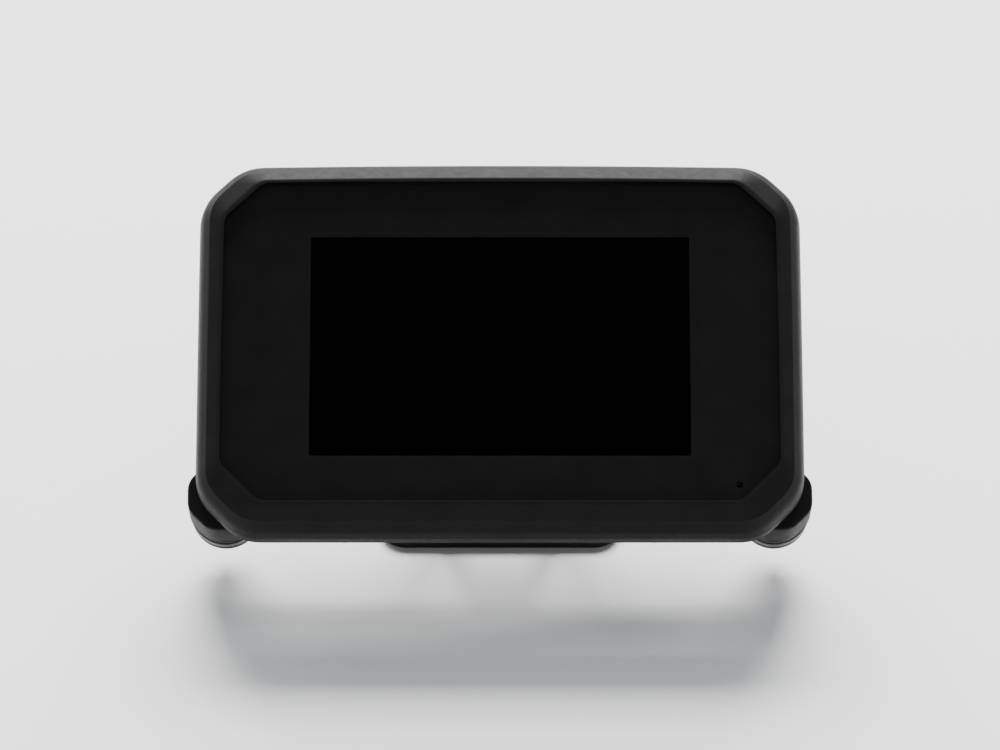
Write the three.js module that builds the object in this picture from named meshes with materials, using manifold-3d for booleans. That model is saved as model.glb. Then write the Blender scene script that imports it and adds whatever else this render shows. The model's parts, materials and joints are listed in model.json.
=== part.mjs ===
// Instrument cluster of a motorcycle: a flat colour display in a sealed housing of two shells,
// carried by three rubber-isolated bolts on a welded steel stay.
//
// Millimetres. The model stands on the stay's foot: the origin lies on the foot's underside,
// halfway between its two bolt holes, +Z is up, +X is the rider's right and -Y the rider's side.
// The cluster is drawn in the screen's own axes: x to the right, z up the screen, and y the depth
// from the front of the rim (y = 0) into the housing. Its centre is the centre of the lit area.

import * as THREE from 'three';
import { mergeVertices } from 'three/addons/utils/BufferGeometryUtils.js';
import Module from 'manifold-3d';

const wasm = await Module();
wasm.setup();

// ---------------------------------------------------------------- driving dimensions

const RECLINE = THREE.MathUtils.degToRad(52); // screen tilted back from upright
const SCREEN_CENTRE = { y: -20, z: 70 }; // lit area's centre above the foot
const GAP = 0.3; // left between pieces that touch

// Outlines are rectangles with cut corners. low and high are measured from the lit area's centre.
const windowEdge = { halfWidth: 79.4, low: -46.2, high: 48.9, chamfer: 11, radius: 5 };
const rimFront = { halfWidth: 83.4, low: -51.5, high: 53.1, chamfer: 12.2, radius: 6 };
const bezelFlare = 3.2; // how far the bezel widens behind the rim
const flangeEdge = { halfWidth: 86, low: -54.1, high: 55.4, chamfer: 13.7, radius: 7 };
const tubEdge = { halfWidth: 79.5, low: -47.6, high: 49.4, chamfer: 11, radius: 6 };
const boardEdge = { halfWidth: 76.4, low: -44.6, high: 46.2, chamfer: 11, radius: 2 };

// Depths down the stack, from the rim's front.
const depth = {
  lip: 1.2,
  flareEnd: 7,
  sealFront: 1.5,
  lensFront: 2.2,
  lensBack: 4.7,
  carrierFront: 5,
  carrierPlateBack: 6.5,
  carrierBack: 13,
  bezelBack: 14,
  flangeFront: 14.3,
  boardFront: 15,
  boardBack: 16.6,
  flangeBack: 17.3,
  wallInside: 27.8,
  housingBack: 30,
  stayFront: 33.5,
  stayBack: 36.5,
};
const chipFront = depth.boardBack + GAP; // where parts on the board's back begin

// The display module: liquid-crystal panel over an edge-lit backlight in a steel tray.
const panel = { halfWidth: 58, low: -40, high: 36 };
const trayWall = 0.5;
const tray = { halfWidth: 59.3, low: -41.3, high: 37.3, front: 7.8, back: 12.6 };
const ribbon = { width: 20, thickness: 0.3, bend: 1.2, low: -43.2, start: 6.2, end: 18.1 };

// Places on the screen's axes.
const mountPoints = [
  { name: 'left', x: -79, z: -40 },
  { name: 'right', x: 79, z: -40 },
  { name: 'top', x: 0, z: 38 },
];
const housingScrewPoints = [
  { name: 'left', x: -83.6, z: 8 },
  { name: 'right', x: 83.6, z: 8 },
  { name: 'upper_left', x: -44, z: 53.1 },
  { name: 'upper_right', x: 44, z: 53.1 },
  { name: 'lower_left', x: -44, z: -51.6 },
  { name: 'lower_right', x: 44, z: -51.6 },
];
const boardScrewPoints = [
  { name: 'upper_left', x: -66, z: 34 },
  { name: 'upper_right', x: 66, z: 34 },
  { name: 'lower_left', x: -66, z: -34 },
  { name: 'lower_right', x: 66, z: -34 },
];
const indicatorPoints = [-67, 67].flatMap((x) => [24, 8, -8].map((z) => ({ x, z })));
const sensorPoint = { x: 67.8, z: -41 };
const connector = { x: 42, z: -5, width: 34, height: 16, wall: 2, back: 36, floor: 22 };
const breather = { x: -45, z: 10, radius: 7.5, recess: 6, hole: 1.5 };
const processor = { x: -14, z: 8, size: 17, back: chipFront + 1.5 };

// Fasteners and their rubber mounts.
const earRadius = 10.2; // boss of a mounting point, and the stay's lug on it
const topBossRadius = 7.5;
const bolt = { shank: 3, flange: 6.5, acrossCorners: 5.8, tip: 22, seat: 40, flangeBack: 41.5, end: 46 };
const insert = { inner: 3.3, outer: 4, front: 20.3, back: 29.7 };
const collar = { inner: 3.3, outer: 4, front: 30.3, back: 39.7 };
const grommet = { inner: 4.3, groove: 7.2, flange: 10, front: 30.5, back: 39.5 };
const tapping = { shank: 1.2, head: 2.3, headHeight: 1.8, pilot: 1.5 };

// The stay.
const plate = depth.stayBack - depth.stayFront;
const foot = { halfWidth: 35, front: -24, back: 24, corner: 8, boltSpacing: 52, boltHole: 4.25 };
const gusset = { centre: 16.5, thickness: 3, low: -34, high: 10, hole: 7 };
const mastHalfWidth = 11;
const crossbar = { low: -47, high: -33 };

// ---------------------------------------------------------------- materials

const finish = (color, roughness, metalness = 0) =>
  new THREE.MeshStandardMaterial({ color, roughness, metalness });

const materials = {
  casing: () => finish(0x1b1c1e, 0.62),
  lens: () => finish(0x08090a, 0.3),
  clear: () => finish(0xd9dfe2, 0.15),
  panel: () => finish(0x020203, 0.2),
  film: () => finish(0xe9ebea, 0.7),
  rubber: () => finish(0x121212, 0.85),
  board: () => finish(0x12472e, 0.5),
  chip: () => finish(0x17181a, 0.55),
  ceramic: () => finish(0xf2efd8, 0.5),
  ribbon: () => finish(0xb9702a, 0.4),
  brass: () => finish(0xb9974f, 0.35, 1),
  zinc: () => finish(0xb4b7ba, 0.35, 1),
  steel: () => finish(0x141517, 0.45, 0.3),
  carrier: () => finish(0x26282b, 0.7),
  pad: () => finish(0x8d96a3, 0.8),
  membrane: () => finish(0xf4f4f2, 0.9),
};

// ---------------------------------------------------------------- solids and how they are joined

// A closed geometry becomes a solid: its corners are merged and slivers at a lathe's poles dropped.
function solid(geometry) {
  const bare = geometry.clone();
  bare.deleteAttribute('normal');
  bare.deleteAttribute('uv');
  const merged = mergeVertices(bare, 1e-4);
  const index = merged.index.array;
  const kept = [];
  for (let i = 0; i < index.length; i += 3) {
    const [a, b, c] = [index[i], index[i + 1], index[i + 2]];
    if (a !== b && b !== c && c !== a) kept.push(a, b, c);
  }
  return new wasm.Manifold(new wasm.Mesh({
    numProp: 3,
    vertProperties: new Float32Array(merged.attributes.position.array),
    triVerts: new Uint32Array(kept),
  }));
}

const join = (first, ...others) => others.reduce((whole, piece) => whole.add(piece), first);
const cut = (first, ...others) => others.reduce((whole, piece) => whole.subtract(piece), first);

function meshOf(name, shape, material) {
  const { vertProperties, triVerts } = shape.getMesh();
  const geometry = new THREE.BufferGeometry();
  geometry.setAttribute('position', new THREE.BufferAttribute(vertProperties, 3));
  geometry.setIndex(new THREE.BufferAttribute(triVerts, 1));
  geometry.computeVertexNormals();
  const mesh = new THREE.Mesh(geometry, material);
  mesh.name = name;
  return mesh;
}

// ---------------------------------------------------------------- outlines

// A polygon whose corners are rounded off by curves that start `trim` before each corner.
function roundedPolygon(corners, trim) {
  const shape = new THREE.Shape();
  corners.forEach((corner, i) => {
    const before = corners[(i + corners.length - 1) % corners.length];
    const after = corners[(i + 1) % corners.length];
    const start = corner.clone().add(before.clone().sub(corner).setLength(trim));
    const end = corner.clone().add(after.clone().sub(corner).setLength(trim));
    if (i === 0) shape.moveTo(start.x, start.y);
    else shape.lineTo(start.x, start.y);
    shape.quadraticCurveTo(corner.x, corner.y, end.x, end.y);
  });
  shape.closePath();
  return shape;
}

function cutCornerShape({ halfWidth, low, high, chamfer, radius }) {
  const inner = halfWidth - chamfer;
  const corners = [
    [-inner, low], [inner, low], [halfWidth, low + chamfer], [halfWidth, high - chamfer],
    [inner, high], [-inner, high], [-halfWidth, high - chamfer], [-halfWidth, low + chamfer],
  ].map(([x, z]) => new THREE.Vector2(x, z));
  return roundedPolygon(corners, radius * Math.tan(Math.PI / 8));
}

// The same outline moved outwards by a distance, its 45-degree cuts kept parallel.
function grown(outline, by) {
  return {
    halfWidth: outline.halfWidth + by,
    low: outline.low - by,
    high: outline.high + by,
    chamfer: outline.chamfer + (2 - Math.SQRT2) * by,
    radius: Math.max(outline.radius + by, 1),
  };
}

function roundedRectangle(width, height, corner, x = 0, z = 0) {
  const [w, h] = [width / 2, height / 2];
  const corners = [[-w, -h], [w, -h], [w, h], [-w, h]].map(([a, b]) => new THREE.Vector2(x + a, z + b));
  return roundedPolygon(corners, corner);
}

// ---------------------------------------------------------------- shapes in the screen's axes

// An outline in x and z, given thickness along y.
function prism(shape, front, back, bevel = {}) {
  const { size = 0, length = 0, segments = 1 } = bevel;
  const geometry = new THREE.ExtrudeGeometry(shape, {
    depth: back - front - 2 * length,
    curveSegments: 3,
    bevelEnabled: size > 0,
    bevelSize: size,
    bevelThickness: length,
    bevelSegments: segments,
  });
  geometry.rotateX(Math.PI / 2);
  geometry.translate(0, back - length, 0);
  return solid(geometry);
}

function box(x, z, width, height, front, back) {
  const geometry = new THREE.BoxGeometry(width, back - front, height);
  geometry.translate(x, (front + back) / 2, z);
  return solid(geometry);
}

function cylinder({ x, z }, radius, front, back, sides = 16) {
  const geometry = new THREE.CylinderGeometry(radius, radius, back - front, sides);
  geometry.translate(x, (front + back) / 2, z);
  return solid(geometry);
}

// A turned piece about an axis along y, from points [radius, y].
function turned({ x, z }, profile, sides = 16) {
  const points = profile.map(([radius, y]) => new THREE.Vector2(radius, y));
  const geometry = new THREE.LatheGeometry(points, sides);
  geometry.translate(x, 0, z);
  return solid(geometry);
}

function ring(place, inner, outer, front, back, sides = 16) {
  return turned(place, [[inner, front], [outer, front], [outer, back], [inner, back], [inner, front]], sides);
}

const frameRing = (outer, inner, front, back) =>
  cut(prism(cutCornerShape(outer), front, back), prism(cutCornerShape(inner), front - 1, back + 1));

// ---------------------------------------------------------------- front: bezel, seal and lens

function frontBezel() {
  const flare = { size: bezelFlare, length: depth.flareEnd, segments: 2 };
  const pastBack = depth.bezelBack + 20;
  const outside = prism(cutCornerShape(rimFront), 0, pastBack, flare);
  const pocket = prism(cutCornerShape(grown(windowEdge, 1.6)), depth.lip, pastBack + 1);
  const pilots = housingScrewPoints.map((point) =>
    cylinder(point, tapping.pilot, depth.flareEnd + 0.5, depth.bezelBack + 1, 8));
  return cut(
    outside,
    box(0, 0, 240, 200, depth.bezelBack, pastBack + 2),
    prism(cutCornerShape(windowEdge), -1, depth.lip + 1),
    pocket,
    ...pilots,
  );
}

const lensSeal = () =>
  frameRing(grown(windowEdge, 1.3), grown(windowEdge, 0.3), depth.sealFront, depth.lensFront - GAP);

const coverLens = () => prism(cutCornerShape(grown(windowEdge, 1.3)), depth.lensFront, depth.lensBack);

const opticalBond = () => box(0, -2, 112, 72, depth.lensBack + GAP, 5.65);

// ---------------------------------------------------------------- display module

const panelMiddle = (panel.low + panel.high) / 2;
const panelHeight = panel.high - panel.low;
const panelWidth = 2 * panel.halfWidth;

const lcdPanel = () => box(0, panelMiddle, panelWidth, panelHeight, 5.95, tray.front - GAP);

function backlightTray() {
  const height = tray.high - tray.low;
  const outside = box(0, panelMiddle, 2 * tray.halfWidth, height, tray.front, tray.back);
  const inside = box(0, panelMiddle, 2 * (tray.halfWidth - trayWall), height - 2 * trayWall,
    tray.front - 1, tray.back - trayWall);
  return cut(outside, inside);
}

const diffuserSheet = () => box(0, panelMiddle, panelWidth, panelHeight, 8, 8.5);
const lightGuide = () => box(0, 0, panelWidth, 72, 8.8, 11.2);
const reflectorSheet = () => box(0, panelMiddle, panelWidth, panelHeight, 11.5, 11.8);

// A strip of lamps that shine into the lower edge of the light guide.
function backlightStrip() {
  const lampCount = 14;
  const pitch = 7.6;
  const strip = box(0, -39.3, 112, 0.8, 8.9, 11.1);
  const lamps = Array.from({ length: lampCount }, (_, i) =>
    box((i - (lampCount - 1) / 2) * pitch, -38, 3, 2, 9.2, 10.8));
  return join(strip, ...lamps);
}

// The flat cable leaves the panel's lower edge, passes under the board and turns up behind it.
function lcdRibbon() {
  const { thickness, width, bend, low, start, end } = ribbon;
  const panelEdge = panel.low - GAP;
  const outline = new THREE.Shape();
  outline.moveTo(start, panelEdge);
  outline.lineTo(start, low + bend);
  outline.absarc(start + bend, low + bend, bend, Math.PI, 1.5 * Math.PI, false);
  outline.lineTo(end - bend, low);
  outline.absarc(end - bend, low + bend, bend, 1.5 * Math.PI, 2 * Math.PI, false);
  outline.lineTo(end, -39);
  outline.lineTo(end - thickness, -39);
  outline.lineTo(end - thickness, low + bend);
  outline.absarc(end - bend, low + bend, bend - thickness, 0, -0.5 * Math.PI, true);
  outline.lineTo(start + bend, low + thickness);
  outline.absarc(start + bend, low + bend, bend - thickness, -0.5 * Math.PI, -Math.PI, true);
  outline.lineTo(start + thickness, panelEdge);
  outline.closePath();
  return solid(acrossX(outline, width, 3));
}

// An outline in y and z, given thickness along x and centred on it.
function acrossX(shape, width, curveSegments = 4) {
  const geometry = new THREE.ExtrudeGeometry(shape, { depth: width, bevelEnabled: false, curveSegments });
  geometry.translate(0, 0, -width / 2);
  geometry.applyMatrix4(new THREE.Matrix4().makeBasis(
    new THREE.Vector3(0, 1, 0), new THREE.Vector3(0, 0, 1), new THREE.Vector3(1, 0, 0)));
  return geometry;
}

// The carrier holds the display module against the lens, and keeps each indicator's light apart.
function displayCarrier() {
  const outer = grown(windowEdge, 1.3);
  const sheet = cut(
    prism(cutCornerShape(outer), depth.carrierFront, depth.carrierPlateBack),
    box(0, panelMiddle, 2 * tray.halfWidth + 1, tray.high - tray.low + 1, depth.carrierFront - 1, 8),
    box(0, tray.low - 1.5, ribbon.width + 2, 4, depth.carrierFront - 1, 8),
  );
  const wall = frameRing(outer, grown(windowEdge, -0.5), depth.carrierFront, depth.carrierBack);
  const shades = indicatorPoints.map((point) => cylinder(point, 3.9, depth.carrierFront, 14.6, 12));
  const bores = indicatorPoints.map((point) => cylinder(point, 2.9, depth.carrierFront - 1, 16, 12));
  const sleeve = cylinder(sensorPoint, 2.6, depth.carrierFront, 13.2, 12);
  const sleeveBore = cylinder(sensorPoint, 1.8, depth.carrierFront - 1, 14, 12);
  return cut(join(sheet, wall, ...shades, sleeve), ...bores, sleeveBore);
}

const sensorLightPipe = () => cylinder(sensorPoint, 1.5, depth.carrierFront, 13.5, 12);

// ---------------------------------------------------------------- board and the parts on it

function mainBoard() {
  const notch = box(0, boardEdge.low, 28, 6.4, depth.boardFront - 1, depth.boardBack + 1);
  const holes = boardScrewPoints.map((point) =>
    cylinder(point, tapping.pilot, depth.boardFront - 1, depth.boardBack + 1, 8));
  return cut(prism(cutCornerShape(boardEdge), depth.boardFront, depth.boardBack), notch, ...holes);
}

const indicatorLed = ({ x, z }) => box(x, z, 3.2, 2.8, 13.8, depth.boardFront - GAP);
const lightSensor = () => box(sensorPoint.x, sensorPoint.z, 2.4, 2.2, 13.9, depth.boardFront - GAP);
const chip = (x, z, width, height, thickness) =>
  box(x, z, width, height, chipFront, chipFront + thickness);

function capacitor(point) {
  const height = 9.6;
  const base = box(point.x, point.z, 10.3, 10.3, chipFront, chipFront + 1);
  return join(base, cylinder(point, 5, chipFront + 0.5, chipFront + height));
}

function powerInductor() {
  return prism(roundedRectangle(12, 12, 2.5, 44, 24), chipFront, chipFront + 6.5);
}

function ribbonConnector() {
  const body = box(0, -36.3, 25, 5.2, chipFront, chipFront + 2);
  const slot = box(0, -39, 20.8, 3.6, 17.5, 18.4);
  return cut(body, slot);
}

const thermalPad = () =>
  box(processor.x, processor.z, 16, 16, processor.back + GAP, 20);

// ---------------------------------------------------------------- connector

function connectorHeader() {
  const { x, z, width, height, wall, back, floor } = connector;
  const shell = prism(roundedRectangle(width, height, 2, x, z), chipFront, back);
  const flange = prism(roundedRectangle(width + 5, height + 5, 3, x, z), 22.8, 25.2);
  const cavity = prism(roundedRectangle(width - 2 * wall, height - 2 * wall, 1, x, z), floor, back + 1);
  const catchTab = box(x, z + height / 2 + 0.4, 6, 1.4, 32, 34);
  return cut(join(shell, flange, catchTab), cavity);
}

// Two rows of pins on one moulded-in comb.
function connectorPins() {
  const { x, z, floor } = connector;
  const columns = 8;
  const pitch = 3;
  const rows = [-2.4, 2.4];
  const comb = box(x, z, 25, 6.4, floor + GAP, floor + 1.3);
  const pins = rows.flatMap((row) => Array.from({ length: columns }, (_, i) =>
    box(x + (i - (columns - 1) / 2) * pitch, z + row, 0.9, 0.9, floor + 1, floor + 10)));
  return join(comb, ...pins);
}

function connectorSeal() {
  const { x, z, width, height } = connector;
  const outside = prism(roundedRectangle(width + 4.4, height + 4.4, 3, x, z), 25.5, 27.5);
  const inside = prism(roundedRectangle(width + 0.6, height + 0.6, 2, x, z), 25, 28);
  return cut(outside, inside);
}

// ---------------------------------------------------------------- rear housing

function rearHousing() {
  const { flangeFront, flangeBack, wallInside, housingBack } = depth;
  const flange = prism(cutCornerShape(flangeEdge), flangeFront, flangeBack);
  const tubBevel = { size: 3, length: 3, segments: 2 };
  const tub = cut(
    prism(cutCornerShape(grown(tubEdge, -tubBevel.size)), 5, housingBack, tubBevel),
    box(0, 0, 240, 200, 4, flangeFront),
  );
  const cavity = prism(cutCornerShape(grown(tubEdge, -2.2)), flangeFront - 1, wallInside);
  const ears = mountPoints.filter((point) => point.z < 0)
    .map((point) => cylinder(point, earRadius, flangeBack, housingBack, 24));
  const topBoss = cylinder(mountPoints[2], topBossRadius, 18.5, housingBack);
  const standoffs = boardScrewPoints.map((point) => cylinder(point, 3.5, chipFront, wallInside + 1, 12));
  const pedestal = box(processor.x, processor.z, 18, 18, 20 + GAP, wallInside + 1);
  const shell = join(cut(join(flange, tub), cavity), ...ears, topBoss, ...standoffs, pedestal);

  const insertHoles = mountPoints.map((point) => cylinder(point, insert.outer + GAP, 20, 31));
  const flangeHoles = housingScrewPoints.map((point) =>
    cylinder(point, tapping.pilot, flangeFront - 1, flangeBack + 1, 8));
  const screwSeats = housingScrewPoints.map((point) =>
    cylinder(point, tapping.head + GAP, flangeBack, flangeBack + 4, 12));
  const boardPilots = boardScrewPoints.map((point) => cylinder(point, tapping.pilot, 16, 24, 8));
  const socket = prism(
    roundedRectangle(connector.width + 0.6, connector.height + 0.6, 2, connector.x, connector.z), 27, 31);
  const ventRecess = cylinder(breather, breather.recess, 28.9, 31);
  const ventHole = cylinder(breather, breather.hole, 27, 31, 8);
  return cut(
    shell, ...insertHoles, ...flangeHoles, ...screwSeats, ...boardPilots, socket, ventRecess, ventHole);
}

const housingSeal = () =>
  frameRing(grown(windowEdge, 1.3), grown(windowEdge, -0.4), depth.carrierBack + GAP, depth.bezelBack);

function breatherCap() {
  const front = depth.housingBack + GAP;
  const cap = turned(breather, [[0, front], [7.5, front], [7.5, front + 1.6], [6.4, front + 2.8], [0, front + 2.8]]);
  const vents = [0, 1].map((turn) => (turn
    ? box(breather.x, breather.z, 20, 2, front - 1, front + 0.8)
    : box(breather.x, breather.z, 2, 20, front - 1, front + 0.8)));
  return cut(cap, ...vents);
}

const breatherMembrane = () => cylinder(breather, 5.6, 29.2, 29.5);

// ---------------------------------------------------------------- fasteners and rubber mounts

// A pan-head screw driven forwards from behind the flange.
function housingScrew(point) {
  const seat = depth.flangeBack + GAP;
  const tip = depth.flareEnd + 1;
  return turned(point, [
    [0, tip], [tapping.shank, tip + 1], [tapping.shank, seat], [tapping.head, seat],
    [tapping.head, seat + 1], [tapping.head - 0.7, seat + tapping.headHeight], [0, seat + tapping.headHeight],
  ], 10);
}

// A pan-head screw driven backwards through the board into its standoff.
function boardScrew(point) {
  const seat = depth.boardFront - GAP;
  const top = seat - 1.4;
  return turned(point, [
    [0, top], [tapping.head - 0.7, top], [tapping.head, top + 0.6], [tapping.head, seat],
    [tapping.shank, seat], [tapping.shank, 22], [0, 23],
  ], 10);
}

function mountBolt(point) {
  const turnedPart = turned(point, [
    [0, bolt.tip], [bolt.shank - 0.6, bolt.tip], [bolt.shank, bolt.tip + 0.8], [bolt.shank, bolt.seat],
    [bolt.flange, bolt.seat], [bolt.flange, bolt.seat + 0.9], [bolt.acrossCorners - 0.4, bolt.flangeBack],
    [0, bolt.flangeBack],
  ]);
  return join(turnedPart, cylinder(point, bolt.acrossCorners, bolt.flangeBack - 0.5, bolt.end, 6));
}

const threadedInsert = (point) => ring(point, insert.inner, insert.outer, insert.front, insert.back);
const mountCollar = (point) => ring(point, collar.inner, collar.outer, collar.front, collar.back);

function mountGrommet(point) {
  const { inner, groove, flange, front, back } = grommet;
  const [grooveFront, grooveBack] = [depth.stayFront - GAP, depth.stayBack + GAP];
  return turned(point, [
    [inner, front], [flange - 0.8, front], [flange, front + 0.8], [flange, grooveFront], [groove, grooveFront],
    [groove, grooveBack], [flange, grooveBack], [flange, back - 0.8], [flange - 0.8, back], [inner, back],
    [inner, front],
  ]);
}

// ---------------------------------------------------------------- stay

// From the screen's axes to the foot's.
const screenToFoot = new THREE.Matrix4()
  .makeTranslation(0, SCREEN_CENTRE.y, SCREEN_CENTRE.z)
  .multiply(new THREE.Matrix4().makeRotationX(-RECLINE));

function tilted(geometry) {
  geometry.applyMatrix4(screenToFoot);
  return solid(geometry);
}

function flatPlate(shape, curveSegments = 4) {
  const geometry = new THREE.ExtrudeGeometry(shape, { depth: plate, bevelEnabled: false, curveSegments });
  geometry.rotateX(Math.PI / 2);
  geometry.translate(0, depth.stayBack, 0);
  return tilted(geometry);
}

const tiltedCylinder = ({ x, z }, radius, front, back, sides) => {
  const geometry = new THREE.CylinderGeometry(radius, radius, back - front, sides);
  geometry.translate(x, (front + back) / 2, z);
  return tilted(geometry);
};

// The upper plate: a crossbar between the two lower mounts and a mast up to the top one.
function upperPlate() {
  const [left, right, top] = mountPoints;
  const fillet = 12;
  const { low, high } = crossbar;
  const outline = new THREE.Shape();
  outline.moveTo(left.x, low);
  outline.lineTo(right.x, low);
  outline.lineTo(right.x, high);
  outline.lineTo(mastHalfWidth + fillet, high);
  outline.absarc(mastHalfWidth + fillet, high + fillet, fillet, -Math.PI / 2, -Math.PI, true);
  outline.lineTo(mastHalfWidth, top.z);
  outline.absarc(0, top.z, mastHalfWidth, 0, Math.PI, false);
  outline.lineTo(-mastHalfWidth, high + fillet);
  outline.absarc(-mastHalfWidth - fillet, high + fillet, fillet, 0, -Math.PI / 2, true);
  outline.lineTo(left.x, high);
  outline.closePath();
  const lugs = [left, right].map((point) =>
    tiltedCylinder(point, earRadius, depth.stayFront, depth.stayBack, 24));
  return join(flatPlate(outline), ...lugs);
}

// Upright plates welded between the foot and the upper plate.
function gussets() {
  const middle = (depth.stayFront + depth.stayBack) / 2;
  const onPlate = (z) => new THREE.Vector3(0, middle, z).applyMatrix4(screenToFoot);
  const [front, back] = [onPlate(gusset.low), onPlate(gusset.high)];
  const inFoot = plate / 2;
  const outline = new THREE.Shape([
    new THREE.Vector2(foot.front + 2, inFoot),
    new THREE.Vector2(foot.back - 6, inFoot),
    new THREE.Vector2(back.y, back.z),
    new THREE.Vector2(front.y, front.z),
  ]);
  const lightening = new THREE.Path();
  lightening.absarc(-3, 18, gusset.hole, 0, 2 * Math.PI, true);
  outline.holes.push(lightening);
  return [-1, 1].map((side) => {
    const geometry = acrossX(outline, gusset.thickness, 8);
    geometry.translate(side * gusset.centre, 0, 0);
    return solid(geometry);
  });
}

function footPlate() {
  const shape = roundedRectangle(2 * foot.halfWidth, foot.back - foot.front, foot.corner);
  const geometry = new THREE.ExtrudeGeometry(shape, { depth: plate, bevelEnabled: false, curveSegments: 4 });
  geometry.translate(0, (foot.front + foot.back) / 2, 0);
  return solid(geometry);
}

function uprightCylinder(x, y, radius, low, high, sides = 16) {
  const geometry = new THREE.CylinderGeometry(radius, radius, high - low, sides);
  geometry.rotateX(Math.PI / 2);
  geometry.translate(x, y, (low + high) / 2);
  return solid(geometry);
}

function mountingStay() {
  const grommetHoles = mountPoints.map((point) =>
    tiltedCylinder(point, grommet.groove + GAP, depth.stayFront - 1, depth.stayBack + 1, 16));
  const boltHoles = [-1, 1].map((side) =>
    uprightCylinder((side * foot.boltSpacing) / 2, 0, foot.boltHole, -1, plate + 1));
  return cut(join(footPlate(), ...gussets(), upperPlate()), ...grommetHoles, ...boltHoles);
}

// ---------------------------------------------------------------- assembly

const cluster = new THREE.Group();
cluster.rotation.x = -RECLINE;
cluster.position.set(0, SCREEN_CENTRE.y, SCREEN_CENTRE.z);

const fit = (name, shape, material) => cluster.add(meshOf(name, shape, material));

fit('front_bezel', frontBezel(), materials.casing());
fit('lens_seal', lensSeal(), materials.rubber());
fit('cover_lens', coverLens(), materials.lens());
fit('optical_bond', opticalBond(), materials.clear());
fit('lcd_panel', lcdPanel(), materials.panel());
fit('diffuser_sheet', diffuserSheet(), materials.film());
fit('light_guide', lightGuide(), materials.clear());
fit('reflector_sheet', reflectorSheet(), materials.film());
fit('backlight_strip', backlightStrip(), materials.ceramic());
fit('backlight_tray', backlightTray(), materials.zinc());
fit('lcd_ribbon', lcdRibbon(), materials.ribbon());
fit('display_carrier', displayCarrier(), materials.carrier());
fit('sensor_light_pipe', sensorLightPipe(), materials.clear());

fit('main_board', mainBoard(), materials.board());
fit('light_sensor', lightSensor(), materials.chip());
indicatorPoints.forEach((point, i) => fit(`indicator_led_${i + 1}`, indicatorLed(point), materials.ceramic()));
fit('processor', chip(processor.x, processor.z, processor.size, processor.size, 1.5), materials.chip());
fit('flash_memory', chip(-36, 18, 12, 10, 1.1), materials.chip());
fit('bus_transceiver', chip(47, -24, 5, 6, 1.5), materials.chip());
fit('clock_crystal', chip(-34, -4, 5, 3.2, 1.2), materials.zinc());
fit('power_inductor', powerInductor(), materials.chip());
fit('capacitor_1', capacitor({ x: 24, z: 18 }), materials.zinc());
fit('capacitor_2', capacitor({ x: 24, z: 31 }), materials.zinc());
fit('ribbon_connector', ribbonConnector(), materials.ceramic());
fit('thermal_pad', thermalPad(), materials.pad());

fit('connector_header', connectorHeader(), materials.casing());
fit('connector_pins', connectorPins(), materials.brass());
fit('connector_seal', connectorSeal(), materials.rubber());

fit('housing_seal', housingSeal(), materials.rubber());
fit('rear_housing', rearHousing(), materials.casing());
fit('breather_membrane', breatherMembrane(), materials.membrane());
fit('breather_cap', breatherCap(), materials.rubber());

housingScrewPoints.forEach((point) => fit(`housing_screw_${point.name}`, housingScrew(point), materials.zinc()));
boardScrewPoints.forEach((point) => fit(`board_screw_${point.name}`, boardScrew(point), materials.zinc()));
mountPoints.forEach((point) => {
  fit(`threaded_insert_${point.name}`, threadedInsert(point), materials.brass());
  fit(`collar_${point.name}`, mountCollar(point), materials.zinc());
  fit(`mount_bolt_${point.name}`, mountBolt(point), materials.zinc());
  fit(`grommet_${point.name}`, mountGrommet(point), materials.rubber());
});

const instrumentCluster = new THREE.Group();
instrumentCluster.add(cluster);
instrumentCluster.add(meshOf('mounting_stay', mountingStay(), materials.steel()));

export default instrumentCluster;
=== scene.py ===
"""Looks of the motorcycle's instrument cluster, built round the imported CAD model.

Blender's lengths are metres. A piece of the cluster is drawn in millimetres on the screen's own
axes (x to the right, y the depth behind the rim's front, z up the screen, from the centre of the
lit area) and placed by SCREEN. A piece of the stay is drawn in millimetres on the foot's axes.
"""

import json
from collections import namedtuple
from math import atan2, cos, pi, radians, sin, sqrt, tan

import bmesh
import bpy
from mathutils import Matrix, Vector


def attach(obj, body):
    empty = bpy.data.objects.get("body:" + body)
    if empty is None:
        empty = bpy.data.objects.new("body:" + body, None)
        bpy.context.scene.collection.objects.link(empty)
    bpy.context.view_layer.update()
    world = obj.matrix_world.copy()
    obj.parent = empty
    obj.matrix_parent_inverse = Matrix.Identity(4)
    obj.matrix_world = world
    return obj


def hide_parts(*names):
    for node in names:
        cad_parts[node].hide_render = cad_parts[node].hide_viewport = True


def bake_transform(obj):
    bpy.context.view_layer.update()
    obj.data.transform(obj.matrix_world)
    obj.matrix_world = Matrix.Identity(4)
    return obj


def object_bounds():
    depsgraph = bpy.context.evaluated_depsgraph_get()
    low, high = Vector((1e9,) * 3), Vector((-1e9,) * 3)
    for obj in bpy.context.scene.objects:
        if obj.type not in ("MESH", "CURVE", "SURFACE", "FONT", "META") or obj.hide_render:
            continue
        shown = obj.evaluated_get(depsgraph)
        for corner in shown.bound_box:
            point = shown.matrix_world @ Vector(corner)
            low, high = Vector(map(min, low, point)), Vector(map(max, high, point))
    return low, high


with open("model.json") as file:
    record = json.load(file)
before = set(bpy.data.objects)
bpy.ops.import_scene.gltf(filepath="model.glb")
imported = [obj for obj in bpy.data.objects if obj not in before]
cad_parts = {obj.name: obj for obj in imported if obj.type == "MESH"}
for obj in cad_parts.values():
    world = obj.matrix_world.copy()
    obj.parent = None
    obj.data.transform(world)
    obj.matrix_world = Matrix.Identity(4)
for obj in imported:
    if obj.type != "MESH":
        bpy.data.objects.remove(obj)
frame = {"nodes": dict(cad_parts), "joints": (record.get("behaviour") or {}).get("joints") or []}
cad_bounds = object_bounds()

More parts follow.
